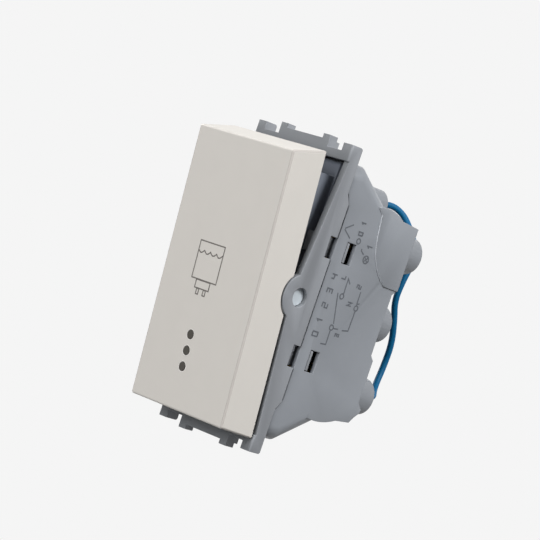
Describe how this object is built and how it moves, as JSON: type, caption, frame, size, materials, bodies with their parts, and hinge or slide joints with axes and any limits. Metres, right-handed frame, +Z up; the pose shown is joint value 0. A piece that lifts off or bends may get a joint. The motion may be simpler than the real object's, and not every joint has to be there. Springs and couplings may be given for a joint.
{
  "type": "boiler switch with indicator",
  "caption": "One-module rocker switch with three indicator windows, a boiler symbol on its tilted white key, a grey snap-in body and a blue neutral lead",
  "frame": {"origin": "middle of the plane in which the rear of the carrier's rim meets the mounting frame", "axes": "+Y points rearward into the wall, +Z up, +X right as seen from the front"},
  "size_m": [0.0226, 0.0446, 0.0522],
  "materials": {
    "white_key": "satin white plastic",
    "smoked_window": "smoked glossy",
    "grey_frame": "fine matt grey plastic",
    "grey_housing": "fine matt grey plastic",
    "grey_cover": "matt grey plastic",
    "clear_guide": "clear polished",
    "white_acetal": "smooth",
    "steel": "zinc plated",
    "contact_brass": "stamped brass",
    "silver": "silver contact",
    "board": "green circuit board",
    "lamp_glass": "glass of a small neon lamp",
    "resistor_body": "painted body with wires",
    "blue_insulation": "smooth soft insulation",
    "sleeve_tin": "tinned"
  },
  "bodies": {
    "module": {"carrier_frame": "grey_frame", "rear_housing": "grey_housing", "mechanism_cover": "grey_cover", "light_guide": "clear_guide", "fixed_contact_rivet": "silver", "load_terminal": "contact_brass", "line_terminal": "contact_brass", "neutral_terminal": "contact_brass", "lamp_board": "board", "indicator_lamp": "lamp_glass", "series_resistor": "resistor_body", "lamp_contact_leaf": "contact_brass", "indicator_lead": "blue_insulation", "lead_inner_run": "blue_insulation", "lead_end_sleeve": "sleeve_tin"},
    "key": {"rocker_key": "white_key", "indicator_windows": "smoked_window", "plunger_spring": "steel"},
    "plunger": {"plunger": "white_acetal"},
    "contact": {"rocking_contact": "contact_brass", "moving_contact_rivet": "silver"},
    "load_screw": {"load_terminal_screw": "steel"},
    "load_shoe": {"load_clamp_shoe": "steel"},
    "line_screw": {"line_terminal_screw": "steel"},
    "line_shoe": {"line_clamp_shoe": "steel"},
    "neutral_screw": {"neutral_terminal_screw": "steel"},
    "neutral_shoe": {"neutral_clamp_shoe": "steel"}
  },
  "joints": [
    {"name": "key_rock", "type": "hinge", "parent": "module", "child": "key", "pos_m": [0, -0.00275, 0], "axis": [-1, 0, 0], "range_deg": [0, 11.56]},
    {"name": "plunger_slide", "type": "slide", "parent": "key", "child": "plunger", "axis": [0, 0.9949, 0.1007], "range_m": [-0.00025, 0]},
    {"name": "contact_rock", "type": "hinge", "parent": "module", "child": "contact", "pos_m": [0, 0.0096, 0], "axis": [1, 0, 0], "range_deg": [0, 16]},
    {"name": "load_screw_turn", "type": "hinge", "parent": "module", "child": "load_screw", "pos_m": [-0.0049, 0.0175, 0.01225], "axis": [0, -1, 0], "range_deg": [0, 1020]},
    {"name": "load_shoe_slide", "type": "slide", "parent": "module", "child": "load_shoe", "axis": [0, 1, 0], "range_m": [0, 0.0017]},
    {"name": "line_screw_turn", "type": "hinge", "parent": "module", "child": "line_screw", "pos_m": [-0.0049, 0.0175, 0], "axis": [0, -1, 0], "range_deg": [0, 1020]},
    {"name": "line_shoe_slide", "type": "slide", "parent": "module", "child": "line_shoe", "axis": [0, 1, 0], "range_m": [0, 0.0017]},
    {"name": "neutral_screw_turn", "type": "hinge", "parent": "module", "child": "neutral_screw", "pos_m": [-0.0049, 0.0175, -0.01225], "axis": [0, -1, 0], "range_deg": [-1020, 0]},
    {"name": "neutral_shoe_slide", "type": "slide", "parent": "module", "child": "neutral_shoe", "axis": [0, 1, 0], "range_m": [-0.0017, 0]}
  ],
  "couplings": [
    {"joint": "contact_rock", "follows": "key_rock", "ratio": 1.3841},
    {"joint": "load_screw_turn", "follows": "load_shoe_slide", "rad_per_m": 10472},
    {"joint": "line_screw_turn", "follows": "line_shoe_slide", "rad_per_m": 10472},
    {"joint": "neutral_screw_turn", "follows": "neutral_shoe_slide", "rad_per_m": 10472}
  ]
}
